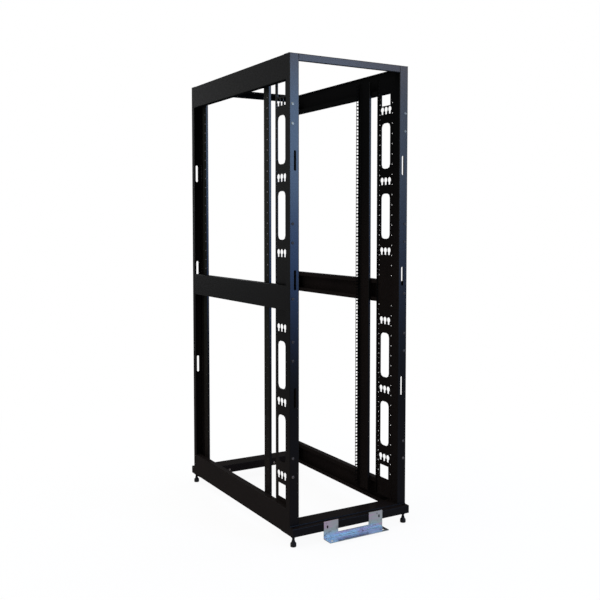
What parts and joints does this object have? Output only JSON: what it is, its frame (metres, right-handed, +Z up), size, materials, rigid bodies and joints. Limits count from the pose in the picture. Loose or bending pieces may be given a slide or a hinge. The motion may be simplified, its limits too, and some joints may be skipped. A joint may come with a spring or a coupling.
{
  "type": "four post open frame rack",
  "caption": "Tall open frame server rack of folded black steel with square-hole mounting rails, cable panels, levelling feet and a bolt-down floor bracket.",
  "frame": {"origin": "on the floor, in the middle of the box round the whole rack", "axes": "+Z up, +X to the right seen from the rear, +Y towards the front; the floor bracket and the cable panels are at the -Y end"},
  "size_m": [0.586, 1.092, 1.988],
  "materials": {
    "frame_paint": "black powder coat, satin, fine grain",
    "rail_paint": "black powder coat, satin",
    "foot_finish": "black, semi gloss",
    "zinc_plate": "blue passivated zinc plate"
  },
  "bodies": {
    "root": {"floor_bracket": "zinc_plate", "front_base_member": "frame_paint", "front_left_foot": "foot_finish", "front_left_post": "frame_paint", "front_left_rail": "rail_paint", "front_left_rail_bracket_bottom": "rail_paint", "front_left_rail_bracket_middle": "rail_paint", "front_left_rail_bracket_top": "rail_paint", "front_right_foot": "foot_finish", "front_right_post": "frame_paint", "front_right_rail": "rail_paint", "front_right_rail_bracket_bottom": "rail_paint", "front_right_rail_bracket_middle": "rail_paint", "front_right_rail_bracket_top": "rail_paint", "front_top_member": "frame_paint", "left_bottom_beam": "frame_paint", "left_cable_panel": "frame_paint", "left_middle_beam": "frame_paint", "left_top_beam": "frame_paint", "rear_base_member": "frame_paint", "rear_left_foot": "foot_finish", "rear_left_post": "frame_paint", "rear_left_rail": "rail_paint", "rear_left_rail_bracket_bottom": "rail_paint", "rear_left_rail_bracket_middle": "rail_paint", "rear_left_rail_bracket_top": "rail_paint", "rear_right_foot": "foot_finish", "rear_right_post": "frame_paint", "rear_right_rail": "rail_paint", "rear_right_rail_bracket_bottom": "rail_paint", "rear_right_rail_bracket_middle": "rail_paint", "rear_right_rail_bracket_top": "rail_paint", "rear_top_member": "frame_paint", "right_bottom_beam": "frame_paint", "right_cable_panel": "frame_paint", "right_middle_beam": "frame_paint", "right_top_beam": "frame_paint"}
  },
  "joints": []
}
